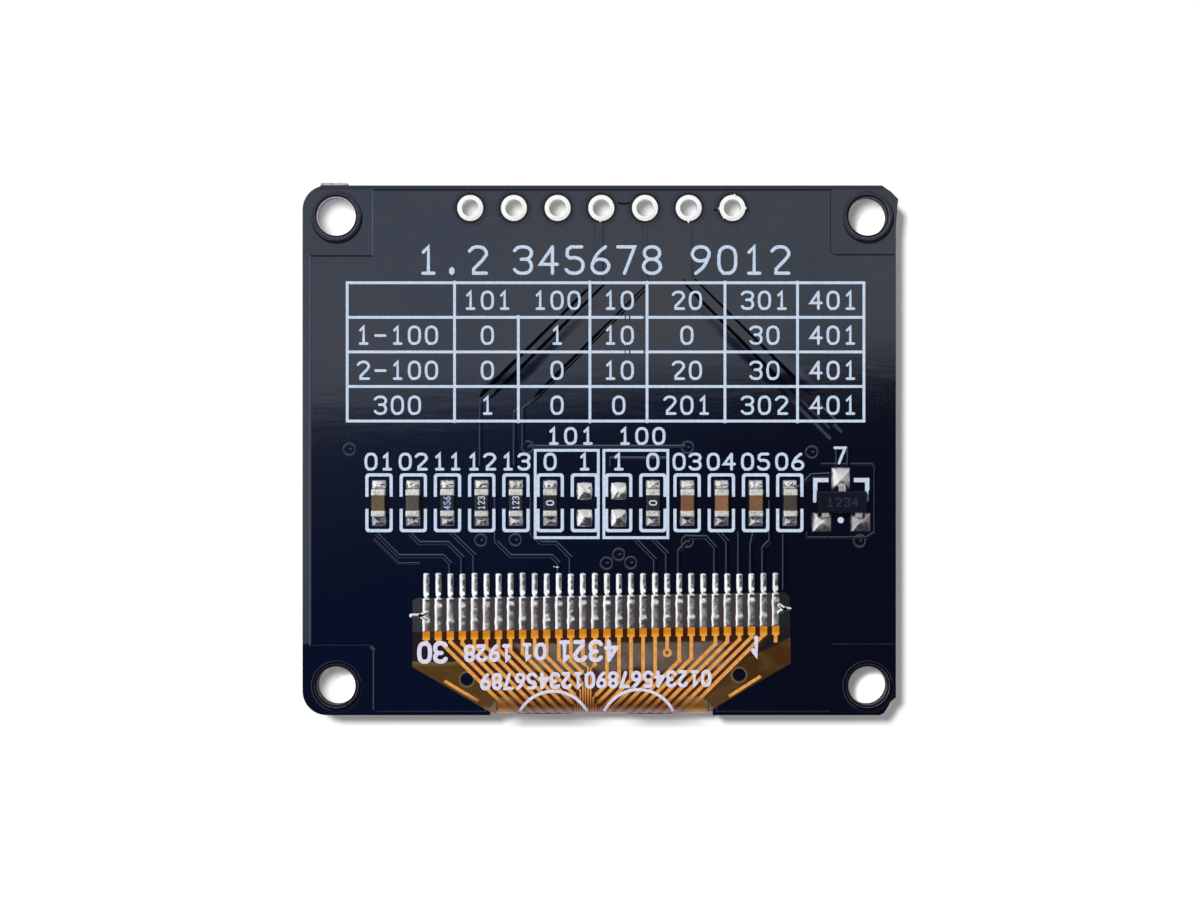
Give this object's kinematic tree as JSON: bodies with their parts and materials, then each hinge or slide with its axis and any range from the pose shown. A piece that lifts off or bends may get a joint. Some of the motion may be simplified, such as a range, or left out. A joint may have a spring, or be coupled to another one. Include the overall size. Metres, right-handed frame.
{
  "type": "small oled module",
  "caption": "Small OLED display module: glass display taped under a dark square circuit board, with a folded amber flex cable, a chip row and a header row.",
  "frame": {"origin": "centre of the circuit board, on the plane of the display face that the module rests on", "axes": "+Z from the display face to the component side, +Y towards the header row, +X to the right seen from the component side"},
  "size_m": [0.0346, 0.0309, 0.004],
  "materials": {
    "solder_mask": "glossy",
    "tinned_pad": "bright",
    "legend_ink": "matt",
    "solder": "bright, slightly grained",
    "capacitor_ceramic": "satin",
    "terminal_tin": "satin",
    "alumina": "matt",
    "overcoat": "satin",
    "moulding": "matt",
    "silicon": "polished",
    "polyimide": "glossy",
    "copper": "satin",
    "glass": "polished",
    "polarizer": "glossy",
    "emitter": "glossy",
    "seal": "matt",
    "desiccant": "matt",
    "foam": "matt"
  },
  "bodies": {
    "root": {"circuit_board": "solder_mask", "header_eyelet_1": "tinned_pad", "header_eyelet_2": "tinned_pad", "header_eyelet_3": "tinned_pad", "header_eyelet_4": "tinned_pad", "header_eyelet_5": "tinned_pad", "header_eyelet_6": "tinned_pad", "header_eyelet_7": "tinned_pad", "board_legend": "legend_ink", "board_finger_pads": "solder", "chip_solder_fillets": "solder", "jumper_pad_solder": "solder", "capacitor_body_1": "capacitor_ceramic", "capacitor_body_2": "capacitor_ceramic", "capacitor_body_3": "capacitor_ceramic", "capacitor_body_4": "capacitor_ceramic", "capacitor_body_5": "capacitor_ceramic", "capacitor_body_6": "capacitor_ceramic", "capacitor_terminals_1": "terminal_tin", "capacitor_terminals_2": "terminal_tin", "capacitor_terminals_3": "terminal_tin", "capacitor_terminals_4": "terminal_tin", "capacitor_terminals_5": "terminal_tin", "capacitor_terminals_6": "terminal_tin", "resistor_body_1": "alumina", "resistor_body_2": "alumina", "resistor_body_3": "alumina", "resistor_body_4": "alumina", "resistor_body_5": "alumina", "resistor_coat_1": "overcoat", "resistor_coat_2": "overcoat", "resistor_coat_3": "overcoat", "resistor_coat_4": "overcoat", "resistor_coat_5": "overcoat", "resistor_terminals_1": "terminal_tin", "resistor_terminals_2": "terminal_tin", "resistor_terminals_3": "terminal_tin", "resistor_terminals_4": "terminal_tin", "resistor_terminals_5": "terminal_tin", "regulator_body": "moulding", "regulator_lead_1": "terminal_tin", "regulator_lead_2": "terminal_tin", "regulator_lead_3": "terminal_tin", "regulator_solder": "solder", "flex_film": "polyimide", "flex_traces": "copper", "flex_finger_solder": "solder", "polarizer": "polarizer", "front_glass": "glass", "emitter_film": "emitter", "perimeter_seal": "seal", "rear_glass": "glass", "desiccant_sheet": "desiccant", "driver_chip": "silicon", "foam_tape": "foam"}
  },
  "joints": []
}
